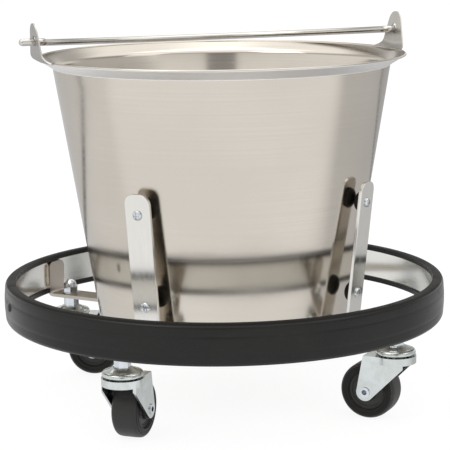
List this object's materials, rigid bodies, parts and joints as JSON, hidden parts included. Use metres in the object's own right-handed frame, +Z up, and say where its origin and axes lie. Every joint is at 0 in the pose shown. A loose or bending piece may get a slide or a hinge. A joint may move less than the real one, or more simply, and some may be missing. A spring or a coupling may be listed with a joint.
{
  "type": "kick bucket",
  "caption": "Tapered steel pail with a flared rim and swinging wire bail, standing in a rubber-bumpered ring stand on swivel casters.",
  "frame": {"origin": "on the floor under the middle of the ring stand, below the pail's axis", "axes": "+Z up along the pail's axis, -Y towards the front of the stand, +X to its right"},
  "size_m": [0.406, 0.406, 0.3525],
  "materials": {
    "pail_steel": "fine brushed stainless steel, grain running round the pail",
    "bail_wire": "bright drawn stainless wire",
    "band_steel": "polished stainless strip",
    "bar_steel": "brushed stainless flat bar, grain running lengthwise",
    "zinc_hardware": "bright zinc plate",
    "zinc_plate": "bright zinc-plated pressed steel",
    "ball_steel": "polished steel balls",
    "bumper_rubber": "satin extruded rubber",
    "pad_rubber": "matt moulded rubber",
    "wheel_rubber": "satin moulded hard rubber"
  },
  "bodies": {
    "stand": {"ring_band": "band_steel", "bumper": "bumper_rubber", "bumper_rivet": "zinc_hardware", "cross_bar_upper": "bar_steel", "cross_bar_lower": "bar_steel", "upright_front_left": "bar_steel", "upright_front_right": "bar_steel", "upright_back_right": "bar_steel", "upright_back_left": "bar_steel", "upper_pad_front_left": "pad_rubber", "upper_pad_front_right": "pad_rubber", "upper_pad_back_right": "pad_rubber", "upper_pad_back_left": "pad_rubber", "lower_pad_front_left": "pad_rubber", "lower_pad_front_right": "pad_rubber", "lower_pad_back_right": "pad_rubber", "lower_pad_back_left": "pad_rubber", "pad_screws": "zinc_hardware", "stem_washers": "zinc_hardware", "acorn_nuts": "zinc_hardware", "stem_front_left": "zinc_hardware", "stem_front_right": "zinc_hardware", "stem_back_right": "zinc_hardware", "stem_back_left": "zinc_hardware", "swivel_cap_front_left": "zinc_plate", "swivel_cap_front_right": "zinc_plate", "swivel_cap_back_right": "zinc_plate", "swivel_cap_back_left": "zinc_plate"},
    "pail": {"pail": "pail_steel"},
    "bail": {"bail": "bail_wire"},
    "fork_front_left": {"fork_front_left": "zinc_plate", "axle_front_left": "zinc_hardware", "swivel_balls_front_left": "ball_steel"},
    "wheel_front_left": {"wheel_front_left": "wheel_rubber", "wheel_sleeve_front_left": "zinc_hardware"},
    "fork_front_right": {"fork_front_right": "zinc_plate", "axle_front_right": "zinc_hardware", "swivel_balls_front_right": "ball_steel"},
    "wheel_front_right": {"wheel_front_right": "wheel_rubber", "wheel_sleeve_front_right": "zinc_hardware"},
    "fork_back_right": {"fork_back_right": "zinc_plate", "axle_back_right": "zinc_hardware", "swivel_balls_back_right": "ball_steel"},
    "wheel_back_right": {"wheel_back_right": "wheel_rubber", "wheel_sleeve_back_right": "zinc_hardware"},
    "fork_back_left": {"fork_back_left": "zinc_plate", "axle_back_left": "zinc_hardware", "swivel_balls_back_left": "ball_steel"},
    "wheel_back_left": {"wheel_back_left": "wheel_rubber", "wheel_sleeve_back_left": "zinc_hardware"}
  },
  "joints": [
    {"name": "pail_lift", "type": "slide", "parent": "stand", "child": "pail", "axis": [0, 0, 1], "range_m": [0, 0.2]},
    {"name": "bail_swing", "type": "hinge", "parent": "pail", "child": "bail", "pos_m": [0, 0, 0.336], "axis": [0.9426, 0.3338, 0], "range_deg": [0, 189]},
    {"name": "swivel_front_left", "type": "hinge", "parent": "stand", "child": "fork_front_left", "pos_m": [-0.087, -0.15069, 0.0576], "axis": [0, 0, 1], "continuous": true},
    {"name": "roll_front_left", "type": "hinge", "parent": "fork_front_left", "child": "wheel_front_left", "pos_m": [-0.0792, -0.12926, 0.0254], "axis": [-0.9397, 0.342, 0], "continuous": true},
    {"name": "swivel_front_right", "type": "hinge", "parent": "stand", "child": "fork_front_right", "pos_m": [0.15069, -0.087, 0.0576], "axis": [0, 0, 1], "continuous": true},
    {"name": "roll_front_right", "type": "hinge", "parent": "fork_front_right", "child": "wheel_front_right", "pos_m": [0.1302, -0.07701, 0.0254], "axis": [-0.4384, -0.8988, 0], "continuous": true},
    {"name": "swivel_back_right", "type": "hinge", "parent": "stand", "child": "fork_back_right", "pos_m": [0.087, 0.15069, 0.0576], "axis": [0, 0, 1], "continuous": true},
    {"name": "roll_back_right", "type": "hinge", "parent": "fork_back_right", "child": "wheel_back_right", "pos_m": [0.06557, 0.14289, 0.0254], "axis": [0.342, -0.9397, 0], "continuous": true},
    {"name": "swivel_back_left", "type": "hinge", "parent": "stand", "child": "fork_back_left", "pos_m": [-0.15069, 0.087, 0.0576], "axis": [0, 0, 1], "continuous": true},
    {"name": "roll_back_left", "type": "hinge", "parent": "fork_back_left", "child": "wheel_back_left", "pos_m": [-0.12801, 0.08462, 0.0254], "axis": [0.1045, 0.9945, 0], "continuous": true}
  ]
}
